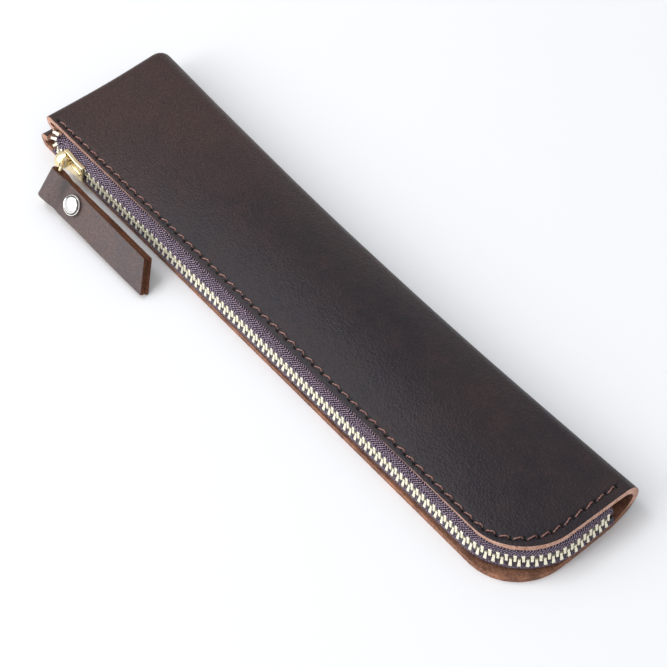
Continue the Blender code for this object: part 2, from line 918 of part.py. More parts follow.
def make_case():
    clear_scene()
    parts = new_collection("leather_pencil_case")
    cutters = new_collection("cutters")
    hide = finish("Brown leather", leather_brown, 0.55, 0)
    strap = finish("Tab leather", tab_brown, 0.60, 0)
    weave = finish("Zip tape", tape_aubergine, 0.85, 0)
    brass = finish("Brass teeth", tooth_brass, 0.28, 1)
    gold = finish("Gold slider", slider_gold, 0.20, 1)
    nickel = finish("Nickel rivet", rivet_nickel, 0.25, 1)
    cotton = finish("Seam thread", thread_pink, 0.80, 0)
    body = make_leather(parts, hide)
    cut_groove(body, cutters, hide)
    make_tape("upper_tape", 1, parts, weave)
    make_tape("lower_tape", -1, parts, weave)
    make_teeth("upper_teeth", 1, parts, brass)
    make_teeth("lower_teeth", -1, parts, brass)
    slider = make_slider(parts, cutters, gold)
    make_bail(slider, parts, gold)
    make_link(parts, gold)
    tab = make_tab(parts, cutters, strap)
    make_rivet(tab, parts, nickel)
    needle_thread("upper_needle_thread", top_seam_at, above_top, stitch_end_y, parts, cotton)
    plain_thread("upper_bobbin_thread", top_seam_at, below_top_tape, chain_end_y, parts, cotton)
    plain_thread("lower_needle_thread", low_seam_at, in_groove, stitch_end_y, parts, cotton)
    plain_thread("lower_bobbin_thread", low_seam_at, above_low_tape, chain_end_y, parts, cotton)
    end_seam = end_seam_line(end_stitch_start_y)
    needle_thread("end_needle_thread", end_seam, above_allowance, end_stitch_stop_y, parts, cotton)
    plain_thread("end_bobbin_thread", end_seam, below_allowance, end_stitch_stop_y, parts, cotton)
    hold_on_empty(parts, cutters)


make_case()
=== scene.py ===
"""Leather pencil case: one folded sheet, a metal zip along its front and round one corner, and a
riveted pull tab.

Metres. The origin is the middle of the underside, +X runs along the case from the turned end seam to
the rounded end, +Y from the zip to the fold at the back, and +Z up. Shapes are worked out from the
case's front corner, where x = 0 is the seamed end and y = 0 the bottom panel's front cut edge, and
then moved. Across the zip, d is the distance inwards from the chain's line, and a run is a distance
along the zip from the seamed end.
"""
import random
from math import atan2, cos, exp, pi, radians, sin, sqrt

import bmesh
import bpy
from mathutils import Matrix, Vector, noise
from mathutils.kdtree import KDTree


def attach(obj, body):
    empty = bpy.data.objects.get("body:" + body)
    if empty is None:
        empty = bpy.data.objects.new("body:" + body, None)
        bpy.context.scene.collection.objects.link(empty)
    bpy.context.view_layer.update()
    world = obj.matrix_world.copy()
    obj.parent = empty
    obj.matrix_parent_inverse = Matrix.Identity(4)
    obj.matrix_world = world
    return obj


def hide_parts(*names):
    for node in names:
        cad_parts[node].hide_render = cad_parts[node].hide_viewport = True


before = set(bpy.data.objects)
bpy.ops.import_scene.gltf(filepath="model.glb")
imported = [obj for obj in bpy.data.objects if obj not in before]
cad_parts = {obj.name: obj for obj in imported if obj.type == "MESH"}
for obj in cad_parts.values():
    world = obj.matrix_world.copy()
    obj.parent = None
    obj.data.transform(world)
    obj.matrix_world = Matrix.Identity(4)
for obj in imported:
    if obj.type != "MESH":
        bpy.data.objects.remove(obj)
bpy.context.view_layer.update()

# Leather sheet
case_length = 0.2024
leather = 0.002
fold_y_left = 0.0452
fold_y_middle = 0.0416
fold_y_right = 0.044
corner_radius = 0.016
end_slant = 0.0014
top_slant_share = 0.3
end_draw = 0.0009
play = 0.0003
end_height = 0.011
fold_height_middle = 0.0116
fold_height_right = 0.0102
fold_run_low = 0.009
fold_run_high = 0.0036
fold_apex_share = 0.6
front_height_middle = 0.0106
front_height_right = 0.0106
crown_rise = 0.0042
end_rise = 0.0006
set_back_left = 0.0025
set_back_middle = 0.0032
set_back_right = 0.0033
end_set_back = 0.0012
top_corner_radius = 0.017
allowance = 0.005
allowance_front_clear = 0.0065
allowance_stub_share = 0.1
edge_round = 0.00032
edge_fuzz = 0.0001
fuzz_scale = 1500
coarse_scale = 520
surface_wave = 0.00012
wave_scale = 38

# Zip
tooth_pitch = 0.0021
chain_height_share = 0.527
chain_drop = 0.0005
chain_inset = 0.0001
chain_slant = radians(0.55)
chain_end_inset = 0.0004
chain_radius = 0.02
chain_lean = radians(9)
chain_start = 0.007
chain_end_y = 0.0336
tooth_overlap = 0.00042
tooth_reach = 0.00195
tooth_leg_length = 0.00098
tooth_head_length = 0.0008
tooth_leg_depth = 0.0016
tooth_head_depth = 0.0013
tooth_round = 0.00016
tooth_head_share = 0.55
tooth_turn = 0.03
tooth_nod = 0.02
cord_radius = 0.00062
cord_place = 0.00125
free_run = 0.0072
free_places = ((0.0109, -0.00074, 0.00566), (0.009, -0.00064, 0.0065), (0.0074, -0.00035, 0.0079),
               (0.00685, 0.00095, 0.00945))
free_legs = (1, 0.3, 0.1)
tuck = 0.0022
tape_thickness = 0.0004
tape_width = 0.0085
tape_past_chain = 0.0009
tape_top_clear = 0.0004
tape_under_top = 0.0008
tape_over_bottom = 0.0016
low_tape_bulge = 0.0009
tape_bulge = 0.00035
rib_pitch = 0.00085
rib_band = 0.0016
pick_pitch = 0.0006

# Slider, link and tab
slider_x = 0.0183
slider_length = 0.0088
slider_wall = 0.0007
slider_flange = 0.0004
slider_play = 0.00025
row_parting = 0.0007
mouth_length = 0.0016
throat_length = 0.0036
chain_width = 0.0038
tooth_depth = 0.0016
back_plate_width = 0.0034
bail_x = 0.0152
bail_rise = 0.0006
crown_rise_more = 0.0006
bail_length = 0.0046
bail_height = 0.0032
bail_width = 0.0036
bail_wall = 0.0009
link_wire = 0.001
link_near_bar = 0.0026
link_bend = 0.0013
tab_width = 0.0093
tab_leather = 0.0015
tab_eye = 0.0016
tab_eye_run = 0.0056
pinch = 0.0004
pinch_reach = 0.0052
pinch_run = 0.002
tab_reach = 0.0456
tab_slant = 0.0042
tab_bar = (0.0198, -0.0095, 0.0062)
tab_lean = radians(49.5)
tab_dip = radians(1.95)
tab_turn = radians(1)
tab_twist = radians(6)
tab_fuzz_scale = 1100
tab_coarse_scale = 430
tab_wave_scale = 90
rivet_reach = 0.011
rivet_rise = 0.0005
rivet_head = 0.0061
rivet_tube = 0.0026
rivet_press = 0.00045
rivet_press_radius = 0.0042
rivet_groove = 0.84
rivet_groove_width = 0.055
rivet_rim = ((0.8, 0.0006), (0.82, 0.00046), (0.86, 0.00046), (0.88, 0.00062), (0.94, 0.00068),
             (0.985, 0.00056), (1, 0.00035), (0.985, 0.00012), (0.94, 0))

# Seams
thread = 0.00036
ply_radius = 0.00012
ply_turns = 2
ply_spread = 0.8
stitch_steps = 12
stitch_lift = 0.8
stitch_sink = 2.4
stitch_arch = 1.3
stitch_lean = 0.00022
groove_lift = 1.65
stitch_pitch = 0.0037
front_margin = 0.0013
end_margin = 0.0028
low_margin = 0.0033
stitch_start_x = 0.0052
stitch_end_y = 0.0405
end_stitch_reach = 0.0028
end_stitch_start_y = 0.011
end_stitch_stop_y = 0.0385
seam_strip = 0.0011
line_step = 0.0005
line_steps = 470
hole_radius = 0.00045
hole_shade = 1.45
hole_depth = 0.0005
trench_radius = 0.0007
trench_depth = 0.00016
groove_radius = 0.0006
groove_depth = 0.0007

# Camera, at the photograph's viewing angle
camera_place = (0.3117, -0.2278, 0.4907)
camera_azimuth = radians(53.28)
camera_elevation = radians(52.27)
camera_roll = radians(-3)
camera_lens = 124.5

# Places that follow
front_corner = Vector((-case_length / 2, -fold_y_middle / 2, 0))
curl_radius = (end_height / 2 - play / 2 - leather) / 2
curl_x = curl_radius + leather / 2
corner_x = case_length - corner_radius
top_length = case_length - end_set_back
top_corner_x = top_length - top_corner_radius
chain_height = end_height * chain_height_share
chain_turn = pi / 2 - chain_slant
chain_corner_x = case_length - chain_end_inset - chain_radius
chain_straight = (chain_corner_x + chain_radius * sin(chain_slant) - chain_start) / cos(chain_slant)
chain_corner_y = chain_inset + chain_straight * sin(chain_slant) + chain_radius * cos(chain_slant)
chain_corner = chain_radius * chain_turn
chain_end = chain_straight + chain_corner + chain_end_y - chain_corner_y
throat_run = slider_x - chain_start - slider_length / 2 + mouth_length
plate_face = tooth_depth / 2 + slider_play + slider_wall
far_bar = tab_width + 2 * play + link_wire
link_elbow = tab_eye / 2 + tab_leather + play + link_wire / 2
tab_mid = (play + tab_leather) / 2
tab_eye_mid = (tab_eye + tab_leather) / 2

# Faces of the fine meshes
bottom_rows, fold_rows, top_rows = 5, 7, 8
allowance_columns, curl_columns, body_columns, corner_columns = 1, 6, 15, 7
fine_rows = (30, 14, 66)
fine_columns = (4, 16, 250, 50)
tape_columns = 300
rim_slot = 2


def clamped(value):
    return min(max(value, 0), 1)


def shares(steps):
    """From 0 to 1 in so many steps."""
    return [k / steps for k in range(steps + 1)]


# Materials
def shader(name):
    made = bpy.data.materials.new(name)
    made.use_nodes = True
    return made, made.node_tree, made.node_tree.nodes["Principled BSDF"]


def fill(made, values):
    """Sets or links a node's sockets."""
    for key, value in values.items():
        if isinstance(value, bpy.types.NodeSocket):
            made.id_data.links.new(value, made.inputs[key])
        else:
            made.inputs[key].default_value = value


def node(tree, kind, values, **settings):
    made = tree.nodes.new(kind)
    for key, value in settings.items():
        setattr(made, key, value)
    fill(made, values)
    return made


def grain(tree, place, scale, detail, roughness=0.55):
    """Noise at a scale in features per metre, from 0 to 1."""
    values = {"Vector": place, "Scale": scale, "Detail": detail, "Roughness": roughness}
    return node(tree, "ShaderNodeTexNoise", values).outputs["Fac"]


def ranged(tree, value, low, high, to_low=0, to_high=1):
    values = {"Value": value, "From Min": low, "From Max": high, "To Min": to_low, "To Max": to_high}
    return node(tree, "ShaderNodeMapRange", values).outputs["Result"]


def mixed(tree, share, first, second):
    """Two colours mixed. A mix node's colours are its sockets 6 and 7, and give its output 2."""
    values = {0: share}
    for key, value in ((6, first), (7, second)):
        values[key] = value if isinstance(value, bpy.types.NodeSocket) else (*value, 1)
    return node(tree, "ShaderNodeMix", values, data_type="RGBA").outputs[2]


def maths(tree, kind, *values):
    return node(tree, "ShaderNodeMath", dict(enumerate(values)), operation=kind).outputs[0]


def summed(tree, first, second):
    return maths(tree, "ADD", first, second)


def waved(tree, place, pitch):
    return maths(tree, "SINE", maths(tree, "MULTIPLY", place, 2 * pi / pitch))


def raised(tree, height, distance, strength, under=None):
    """A bump of its height in metres, over another if there is one."""
    values = {"Height": height, "Distance": distance, "Strength": strength}
    if under:
        values["Normal"] = under
    return node(tree, "ShaderNodeBump", values).outputs["Normal"]


def object_place(tree):
    return node(tree, "ShaderNodeTexCoord", {}).outputs["Object"]


def axis_of(tree, place, axis):
    return node(tree, "ShaderNodeSeparateXYZ", {"Vector": place}).outputs[axis]


def attribute(tree, name):
    return node(tree, "ShaderNodeAttribute", {}, attribute_name=name).outputs["Fac"]


def waxed_leather(name, dark, brown, brown_low, brown_high, rough_low, shine, patchy):
    """Waxed pull-up leather: clouded brown, fine grain, pale scuffs, and painted shade in needle holes and
    creases.
    """
    made, tree, skin = shader(name)
    place = object_place(tree)
    cloud = grain(tree, place, 30, 4)
    fade = ranged(tree, axis_of(tree, place, "X"), brown_high, brown_low)
    fade = summed(tree, fade, ranged(tree, axis_of(tree, place, "Y"), -0.02, 0.02, -0.25, 0.25))
    fade = summed(tree, fade, ranged(tree, cloud, 0.3, 0.7, -0.3, 0.3))
    colour = mixed(tree, ranged(tree, fade, 0, 1), dark, brown)
    mottle = grain(tree, place, 160, 5, 0.65)
    colour = mixed(tree, ranged(tree, mottle, 0.42, 0.72, 0, patchy), colour, tuple(1.5 * c for c in brown))
    fine = grain(tree, place, 2600, 2)
    colour = mixed(tree, ranged(tree, fine, 0.38, 0.68, 0, 0.8), colour, tuple(0.4 * c for c in dark))
    # painted shade: darker where the vertex layer is set, in the needle holes and in the strap's pinched
    # crease
    colour = mixed(tree, attribute(tree, "painted_shade"), colour, tuple(0.2 * c for c in dark))
    rough = ranged(tree, mottle, 0.3, 0.75, rough_low, rough_low + 0.14)
    pores = node(tree, "ShaderNodeTexVoronoi", {"Vector": place, "Scale": 1500}).outputs["Distance"]
    wrinkle = grain(tree, place, 420, 4, 0.6)
    bump = raised(tree, pores, 0.00013, 0.8)
    bump = raised(tree, fine, 0.0001, 0.9, bump)
    bump = raised(tree, wrinkle, 0.00022, 0.5, bump)
    fill(skin, {"Base Color": colour, "Roughness": rough, "Specular IOR Level": shine, "Normal": bump})
    return made


def raw_leather(name, pale, deep, rough, nap=0.8, shade_colour_near_table=None):
    """Cut leather: short fibres, paler where they catch the light, with painted shade near the table."""
    made, tree, skin = shader(name)
    place = object_place(tree)
    fibres = grain(tree, place, 1700, 4, 0.7)
    patches = grain(tree, place, 210, 3)
    mix = summed(tree, ranged(tree, fibres, 0.3, 0.7), ranged(tree, patches, 0.3, 0.7, -0.3, 0.3))
    colour = mixed(tree, ranged(tree, mix, 0, 1), deep, pale)
    # painted shade: the edge's lowest part, near the table, takes a darker tone
    if shade_colour_near_table:
        painted_shade_near_table = mixed(tree, ranged(tree, mix, 0.1, 0.9), tuple(0.25 * c for c in shade_colour_near_table), shade_colour_near_table)
        height = ranged(tree, axis_of(tree, place, "Z"), leather, 2 * leather)
        colour = mixed(tree, height, painted_shade_near_table, colour)
    bump = raised(tree, fibres, 0.00012, nap)
    bump = raised(tree, patches, 0.0004, 0.4, bump)
    fill(skin, {"Base Color": colour, "Roughness": rough, "Specular IOR Level": 0.25, "Normal": bump})
    return made


def woven_tape(name, dark, pale, run, width):
    """Herringbone weave on the piece's own map: ribs that slant to and fro across the tape."""
    made, tree, cloth = shader(name)
    coords = node(tree, "ShaderNodeUVMap", {}, uv_map="UVMap").outputs["UV"]
    metres = node(tree, "ShaderNodeMapping", {"Vector": coords, "Scale": (run, width, 1)}).outputs["Vector"]
    x = axis_of(tree, metres, "X")
    wobble = ranged(tree, grain(tree, metres, 900, 2), 0.2, 0.8, -0.00012, 0.00012)
    zigzag = maths(tree, "PINGPONG", axis_of(tree, metres, "Y"), rib_band)
    ribs = waved(tree, summed(tree, maths(tree, "SUBTRACT", x, zigzag), wobble), rib_pitch)
    picks = waved(tree, summed(tree, x, zigzag), pick_pitch)
    picks = summed(tree, ribs, maths(tree, "MULTIPLY", picks, 0.7))
    fuzz = grain(tree, metres, 3000, 2)
    speck = summed(tree, ranged(tree, picks, -1.2, 1.5), ranged(tree, fuzz, 0.3, 0.7, -0.3, 0.3))
    colour = mixed(tree, ranged(tree, speck, 0.5, 0.82), dark, pale)
    fill(cloth, {"Base Color": colour, "Roughness": 0.6, "Specular IOR Level": 0.25,
                 "Sheen Weight": 0.08, "Sheen Roughness": 0.5,
                 "Normal": raised(tree, picks, 0.00012, 0.9)})
    return made


def plated(name, colour, tarnish, rough, wear, bare=1):
    """Polished metal with faint casting marks and a little tarnish, dark where it is grooved."""
    made, tree, metal = shader(name)
    place = object_place(tree)
    stain = grain(tree, place, 900, 3)
    tint = mixed(tree, ranged(tree, stain, 0.45, 0.8, 0, wear), colour, tarnish)
    tint = mixed(tree, attribute(tree, "groove"), tint, tuple(0.12 * c for c in tarnish))
    polish = ranged(tree, stain, 0.3, 0.7, rough, rough + 0.12)
    marks = raised(tree, grain(tree, place, 1400, 2), 0.00004, 0.35)
    fill(metal, {"Base Color": tint, "Metallic": bare, "Roughness": polish, "Normal": marks})
    return made


def spun_thread(name, colour, shade):
    """Yarn with a slight shine: fine strands in two tones."""
    made, tree, yarn = shader(name)
    strands = grain(tree, object_place(tree), 5200, 2)
    tint = mixed(tree, ranged(tree, strands, 0.3, 0.7), shade, colour)
    fill(yarn, {"Base Color": tint, "Roughness": 0.36, "Specular IOR Level": 0.7,
                "Normal": raised(tree, strands, 0.00005, 0.6)})
    return made


# The leather sheet's middle surface
def share_of(x):
    return clamped(x / case_length)


def along(x, left, middle, right):
    """A size that goes from left to right along the case, with its own value half way."""
    share = share_of(x)
    return left + (right - left) * share + (middle - (left + right) / 2) * sin(pi * share)


def fold_shape(x):
    """Half axes and middle of the fold's cross-section, on the middle of the leather."""
    round_run = (end_height - leather) / 2
    low = round_run + (fold_run_low - round_run) * share_of(x)
    high = round_run + (fold_run_high - round_run) * share_of(x)
    back = along(x, fold_y_left, fold_y_middle, fold_y_right) - leather / 2
    top = along(x, end_height, fold_height_middle, fold_height_right) - leather / 2
    apex_share = 0.5 + (fold_apex_share - 0.5) * share_of(x)
    return low, high, back, top, leather / 2 + (top - leather / 2) * apex_share


def end_slip(y):
    """How far the rounded end's cut edge falls short of the full length, behind its corner."""
    return end_slant * clamped((y - corner_radius) / (fold_y_right - corner_radius)) ** 2


def slant(x, y, share):
    """Shift along the case at a place on the sheet: the slanted end, and the drawn-in seamed end."""
    seam = end_draw * sin(pi * clamped(y / fold_y_left)) * (1 - share_of(x)) ** 2
    return seam - share * end_slip(y) * share_of(x) ** 6


def rise(x):
    return crown_rise * sin(pi * share_of(x)) + end_rise * share_of(x)


def set_back(x):
    return along(x, set_back_left, set_back_middle, set_back_right)


def top_front_y(x):
    past = min(max(x - top_corner_x, 0), top_corner_radius)
    return set_back(x) + top_corner_radius - sqrt(top_corner_radius ** 2 - past ** 2)


def top_front_z(x):
    return along(x, end_height, front_height_middle, front_height_right) - leather / 2


def fold_end(x):
    """Where the fold's curve runs into the crowned top: its angle and its place."""
    low, high, back, top, apex = fold_shape(x)
    front = set_back(x)
    slope = 0
    for _ in range(4):
        angle = atan2(top - apex, high * slope) if slope > 0 else pi / 2
        y = back - high + high * cos(angle)
        z = apex + (top - apex) * sin(angle)
        slope = max(4 * rise(x) + top_front_z(x) - z, 0) / (y - front)
    return angle, y, z


def fold_point(x, angle):
    low, high, back, top, apex = fold_shape(x)
    if angle < 0:
        return back - low + low * cos(angle), apex + (apex - leather / 2) * sin(angle)
    return back - high + high * cos(angle), apex + (top - apex) * sin(angle)


def top_z(x, y):
    """Height of the middle of the top panel."""
    angle, fold_y, fold_z = fold_end(x)
    q = (fold_y - y) / (fold_y - set_back(x))
    return fold_z + (top_front_z(x) - fold_z) * q + 4 * rise(x) * q * (1 - q)


def top_slope(x, y):
    return (top_z(x, y + play) - top_z(x, y - play)) / (2 * play)


def section_point(low_x, high_x, low_front, row):
    """The point of one row across the sheet: bottom panel, fold, then top panel."""
    if row <= bottom_rows:
        start_y, start_z = fold_point(low_x, -pi / 2)
        y = low_front + (start_y - low_front) * row / bottom_rows
        return Vector((low_x + slant(low_x, y, 1), y, start_z))
    if row <= bottom_rows + fold_rows:
        share = (row - bottom_rows) / fold_rows
        x = low_x + (high_x - low_x) * share
        y, z = fold_point(x, -pi / 2 + (fold_end(x)[0] + pi / 2) * share)
        return Vector((x + slant(x, y, 1 + (top_slant_share - 1) * share), y, z))
    share = (row - bottom_rows - fold_rows) / top_rows
    fold_y = fold_end(high_x)[1]
    y = fold_y + (top_front_y(high_x) - fold_y) * share
    return Vector((high_x + slant(high_x, y, top_slant_share), y, top_z(high_x, y)))


def end_row(row):
    """A row where the end seam's curl starts, and the direction in which the leather turns in."""
    last = bottom_rows + fold_rows + top_rows
    rows = (row, max(row - 1, 0), min(row + 1, last))
    here, before, after = [section_point(curl_x, curl_x, 0, k) for k in rows]
    run = (after - before).normalized()
    return here, Vector((0, -run.z, run.y))


def leather_place(column, row):
    if column < allowance_columns + curl_columns:
        here, inward = end_row(row)
        if column < allowance_columns:
            on_fold = bottom_rows < row < bottom_rows + fold_rows
            stub = here.y < allowance_front_clear or on_fold
            reach = allowance * (allowance_stub_share if stub else 1) * (1 - column / allowance_columns)
            return here + inward * (2 * curl_radius) + Vector((reach, 0, 0))
        turn = pi * (allowance_columns + curl_columns - column) / curl_columns
        return here + inward * (curl_radius * (1 - cos(turn))) - Vector((curl_radius * sin(turn), 0, 0))
    column -= allowance_columns + curl_columns
    if column <= body_columns:
        share = column / body_columns
        low_x = curl_x + (corner_x - curl_x) * share
        high_x = curl_x + (top_corner_x - curl_x) * share
        return section_point(low_x, high_x, 0, row)
    turn = pi / 2 * (column - body_columns) / corner_columns
    low_x = corner_x + corner_radius * sin(turn)
    high_x = top_corner_x + top_corner_radius * sin(turn)
    return section_point(low_x, high_x, corner_radius * (1 - cos(turn)), row)


def stretch_of(fine, fine_counts, counts):
    """The coarse column or row that a fine one lies on, over the stretches in turn."""
    start = 0
    for fine_count, count in zip(fine_counts, counts):
        if fine <= fine_count:
            return start + count * fine / fine_count
        fine -= fine_count
        start += count
    return start


# Mesh helpers
def sheet(columns, rows, place):
    """A grid of columns by rows of quads, put where place(column, row) says, with a map from 0 to 1."""
    bm = bmesh.new()
    bm.loops.layers.uv.new("UVMap")
    bmesh.ops.create_grid(bm, x_segments=columns, y_segments=rows, size=1, calc_uvs=True)
    for vert in bm.verts:
        vert.co = place(round((vert.co.x + 1) / 2 * columns), round((vert.co.y + 1) / 2 * rows))
    bmesh.ops.reverse_faces(bm, faces=bm.faces)
    return bm


def linked(name, data):
    """A new object in the scene, at the origin."""
    made = bpy.data.objects.new(name, data)
    bpy.context.scene.collection.objects.link(made)
    return made


def piece_of(name, bm, materials, angle=35):
    made = linked(name, bpy.data.meshes.new(name))
    for material in materials:
        made.data.materials.append(material)
    put_back(made, bm, angle)
    return made


def belongs(made, body, slot, *nodes):
    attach(made, body)
    if nodes:
        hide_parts(*nodes)


def evaluated(made):
    """A bmesh of an object as its modifiers or curve settings leave it."""
    depsgraph = bpy.context.evaluated_depsgraph_get()
    mesh = bpy.data.meshes.new_from_object(made.evaluated_get(depsgraph))
    bm = bmesh.new()
    bm.from_mesh(mesh)
    bpy.data.meshes.remove(mesh)
    return bm


def moved(bm, matrix):
    bmesh.ops.transform(bm, matrix=matrix, verts=bm.verts)
    return bm


def axes_matrix(origin, *axes):
    return Matrix.Translation(origin) @ Matrix(axes).transposed().to_4x4()


def applied(made):
    """The piece with its modifiers worked into its mesh, as a bmesh at the front corner."""
    bm = evaluated(made)
    made.modifiers.clear()
    return moved(bm, Matrix.Translation(-front_corner))


def add_to(whole, bm):
    """Copies one bmesh into another and frees it."""
    mesh = bpy.data.meshes.new("part")
    bm.to_mesh(mesh)
    bm.free()
    whole.from_mesh(mesh)
    bpy.data.meshes.remove(mesh)


def rim_verts(bm):
    return {vert for f in bm.faces if f.material_index == rim_slot for vert in f.verts}


def put_back(made, bm, angle=35):
    """Gives a piece its mesh from a bmesh at the front corner, smooth but for its sharp edges."""
    moved(bm, Matrix.Translation(front_corner)).to_mesh(made.data)
    bm.free()
    made.data.shade_smooth()
    made.data.set_sharp_from_angle(angle=radians(angle))


def rounded(bm, angle, offset, segments, clamp):
    """Rounds the edges at which a shape turns by more than an angle."""
    sharp = [edge for edge in bm.edges if edge.calc_face_angle(0) > radians(angle)]
    bmesh.ops.bevel(bm, geom=sharp, offset=offset, offset_type="OFFSET", segments=segments, profile=0.5,
                    affect="EDGES", material=-1, clamp_overlap=clamp)
    return bm


def outward(bm):
    bmesh.ops.recalc_face_normals(bm, faces=bm.faces)


def walled(made, thickness, rounding, back=1, rim=rim_slot, even=True):
    """Gives a sheet its thickness and rounds its cut edges."""
    wall = made.modifiers.new("Wall", "SOLIDIFY")
    wall.thickness = thickness
    wall.offset = 0
    wall.use_even_offset = even
    wall.use_quality_normals = True
    wall.material_offset = back
    wall.material_offset_rim = rim
    soft = made.modifiers.new("Soft edges", "BEVEL")
    soft.width = rounding
    soft.segments = 3
    soft.limit_method = "ANGLE"
    soft.angle_limit = radians(60)


def wires(name, lines, radius, material, sides=2):
    """Round wires along lines of points, as one mesh at the front corner."""
    curve = bpy.data.curves.new(name, "CURVE")
    curve.dimensions = "3D"
    curve.bevel_depth = radius
    curve.bevel_resolution = sides
    curve.use_fill_caps = True
    for points, closed in lines:
        spline = curve.splines.new("POLY")
        spline.points.add(len(points) - 1)
        for point, place in zip(spline.points, points):
            point.co = (*place, 1)
        spline.use_cyclic_u = closed
    holder = linked(name, curve)
    bm = evaluated(holder)
    bpy.data.objects.remove(holder, do_unlink=True)
    bmesh.ops.remove_doubles(bm, verts=bm.verts, dist=radius / 50)
    outward(bm)
    return piece_of(name, bm, [material], 50)


def smooth_line(points, steps):
    """A smooth line through the points, with so many steps between each two."""
    line = []
    for i in range(len(points) - 1):
        a, b = points[max(i - 1, 0)], points[i]
        c, d = points[i + 1], points[min(i + 2, len(points) - 1)]
        for t in shares(steps)[:-1]:
            line.append(0.5 * (2 * b + (c - a) * t + (2 * a - 5 * b + 4 * c - d) * t ** 2
                               + (3 * b - a - 3 * c + d) * t ** 3))
    return line + [points[-1].copy()]


# Seam lines
def top_seam_at(run):
    straight = top_corner_x - stitch_start_x
    start_radius = top_corner_radius - front_margin
    corner = start_radius * pi / 2
    if run <= straight:
        x = stitch_start_x + run
        return x, top_front_y(x) + front_margin
    if run <= straight + corner:
        turn = (run - straight) / start_radius
        margin = front_margin + (end_margin - front_margin) * turn / (pi / 2)
        radius = top_corner_radius - margin
        centre_y = top_front_y(top_corner_x) + top_corner_radius
        return top_corner_x + radius * sin(turn), centre_y - radius * cos(turn)
    y = top_front_y(top_corner_x) + top_corner_radius + run - straight - corner
    return top_length - end_margin - top_slant_share * end_slip(y), y


def low_seam_at(run):
    return tuple(zip_line(run + stitch_start_x - chain_start, low_margin)[0].xy)


def end_seam_at(run):
    return curl_x + end_stitch_reach, end_stitch_start_y + run


def holes_of(seam_at, last_y):
    """Where the needle went through, a stitch apart."""
    holes = []
    run = 0
    while seam_at(run)[1] < last_y:
        holes.append(seam_at(run))
        run += stitch_pitch
    return holes


def tree_of(points):
    found = KDTree(len(points))
    for i, (x, y) in enumerate(points):
        found.insert((x, y, 0), i)
    found.balance()
    return found


def line_tree(seam_at):
    """Places close together along a seam, as far as its last stitch."""
    places = [seam_at(line_step * k) for k in range(line_steps)]
    return tree_of([place for place in places if place[1] < stitch_end_y])


# Leather sheet
def make_leather(face, suede, edge):
    """The whole sheet, with rounded cut edges, stitch holes and a seam line pressed into it, and painted
    shade in the stitch holes.
    """
    counts = (allowance_columns, curl_columns, body_columns, corner_columns)
    row_counts = (bottom_rows, fold_rows, top_rows)

    def place(column, row):
        return leather_place(stretch_of(column, fine_columns, counts), stretch_of(row, fine_rows, row_counts))

    body = piece_of("leather_sheet", sheet(sum(fine_columns), sum(fine_rows), place), [face, suede, edge])
    walled(body, leather, edge_round)
    bm = applied(body)
    top_holes = tree_of(holes_of(top_seam_at, stitch_end_y))
    top_line = line_tree(top_seam_at)
    low_line = line_tree(low_seam_at)
    seamed = set()
    for f in bm.faces:
        middle = f.calc_center_median()
        on_top = middle.z > end_height / 2 and f.normal.z > 0
        if on_top and top_line.find(Vector((*middle.xy, 0)))[2] < seam_strip:
            seamed.update(f.edges)
    beside = [side for side in bm.edges if side in seamed]
    bmesh.ops.subdivide_edges(bm, edges=beside, cuts=2, use_grid_fill=True)
    bm.normal_update()
    dark = bm.verts.layers.float.new("painted_shade")
    rough = rim_verts(bm)
    for vert in bm.verts:
        here = vert.co.copy()
        flat = Vector((*here.xy, 0))
        if here.z > end_height / 2:
            gap = top_holes.find(flat)[2]
            line = top_line.find(flat)[2]
            dent = hole_depth * exp(-(gap / hole_radius) ** 2)
            dent += trench_depth * exp(-(line / trench_radius) ** 2)
            # painted shade in and round each needle hole
            vert[dark] = exp(-(gap / (hole_radius * hole_shade)) ** 4)
            vert.co.z -= dent - noise.noise(here * wave_scale) * surface_wave
        elif here.z < leather / 2:
            line = low_line.find(flat)[2]
            vert.co.z += groove_depth * exp(-(line / groove_radius) ** 4)
        if vert in rough:
            fuzz = noise.noise(here * fuzz_scale) + 0.6 * noise.noise(here * coarse_scale)
            vert.co += vert.normal * fuzz * edge_fuzz
        vert.co.z = max(vert.co.z, 0)
    put_back(body, bm)
    belongs(body, "case", "body_leather", "leather_body")


# Stitching
def above_top(x, y):
    return top_z(x, y) + leather / 2 * sqrt(1 + top_slope(x, y) ** 2)


def below_top_tape(x, y):
    stack = leather / 2 + tape_top_clear + tape_thickness
    return top_z(x, y) - stack * sqrt(1 + top_slope(x, y) ** 2)


def above_low_tape(x, y):
    return leather + play + tape_thickness


def in_groove(x, y):
    return thread * groove_lift


def above_allowance(x, y):
    return top_z(curl_x, y) - 2 * curl_radius + leather / 2


def below_allowance(x, y):
    return 2 * curl_radius


def stitch_plies(start, stop, height_at, side, lean, dice):
    """Two twisted plies that come up out of one hole, lie along the leather and go down the next."""
    plies = [[], []]
    lift = thread * stitch_lift
    sink = hole_depth * stitch_sink
    aside = Vector((stop.y - start.y, start.x - stop.x, 0)).normalized()
    turn = dice.uniform(0, pi)
    for t in shares(stitch_steps):
        flat = start.lerp(stop, 0.02 + 0.96 * t) + aside * lean * sin(2 * pi * t)
        arch = min(1, sin(pi * t) * stitch_arch)
        height = height_at(flat.x, flat.y) + side * (lift * arch - sink * (1 - arch))
        angle = turn + 2 * pi * ply_turns * t
        for ply, phase in zip(plies, (0, pi)):
            offset = aside * cos(angle + phase) + Vector((0, 0, sin(angle + phase)))
            ply.append(Vector((flat.x, flat.y, height)) + offset * ply_radius * ply_spread)
    return [(ply, False) for ply in plies]


def make_seam(name, node_name, seam_at, height_at, last_y, side, material, seed):
    dice = random.Random(seed)
    holes = [Vector((x, y, 0)) for x, y in holes_of(seam_at, last_y)]
    lines = []
    for start, stop in zip(holes, holes[1:]):
        lines += stitch_plies(start, stop, height_at, side, stitch_lean * dice.uniform(0.6, 1.2), dice)
    belongs(wires(name, lines, ply_radius, material, 1), "case", "seam_thread", node_name)


